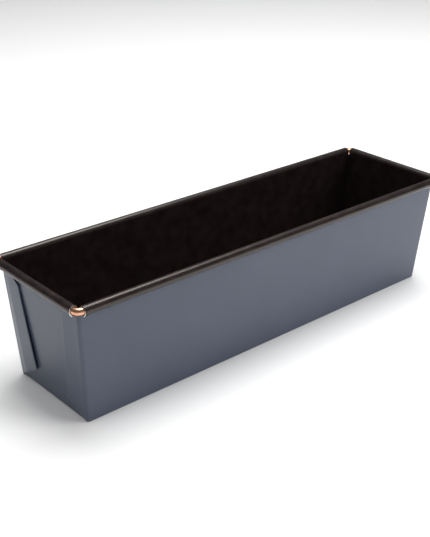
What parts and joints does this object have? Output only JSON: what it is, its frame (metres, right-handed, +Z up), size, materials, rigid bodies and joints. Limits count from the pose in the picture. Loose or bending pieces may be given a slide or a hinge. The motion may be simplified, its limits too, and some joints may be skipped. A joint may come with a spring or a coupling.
{
  "type": "loaf pan",
  "caption": "Long open folded-sheet loaf pan with tapered walls, tabs folded round its corners and a wired, rolled rim.",
  "frame": {"origin": "middle of the underside of the flat bottom", "axes": "+X along the pan, +Y across it towards the rear long wall, +Z up out of the open top"},
  "size_m": [0.36, 0.1034, 0.0913],
  "materials": {
    "coated_steel": "satin blue-grey lacquer outside, black-brown non-stick coating inside and over the rim",
    "copper_wire": "drawn steel wire with a bright copper coating"
  },
  "bodies": {
    "root": {"base_panel": "coated_steel", "front_wall": "coated_steel", "rear_wall": "coated_steel", "left_end_wall": "coated_steel", "right_end_wall": "coated_steel", "corner_tab_front_left": "coated_steel", "corner_tab_rear_left": "coated_steel", "corner_tab_rear_right": "coated_steel", "corner_tab_front_right": "coated_steel", "rim_wire": "copper_wire"}
  },
  "joints": []
}
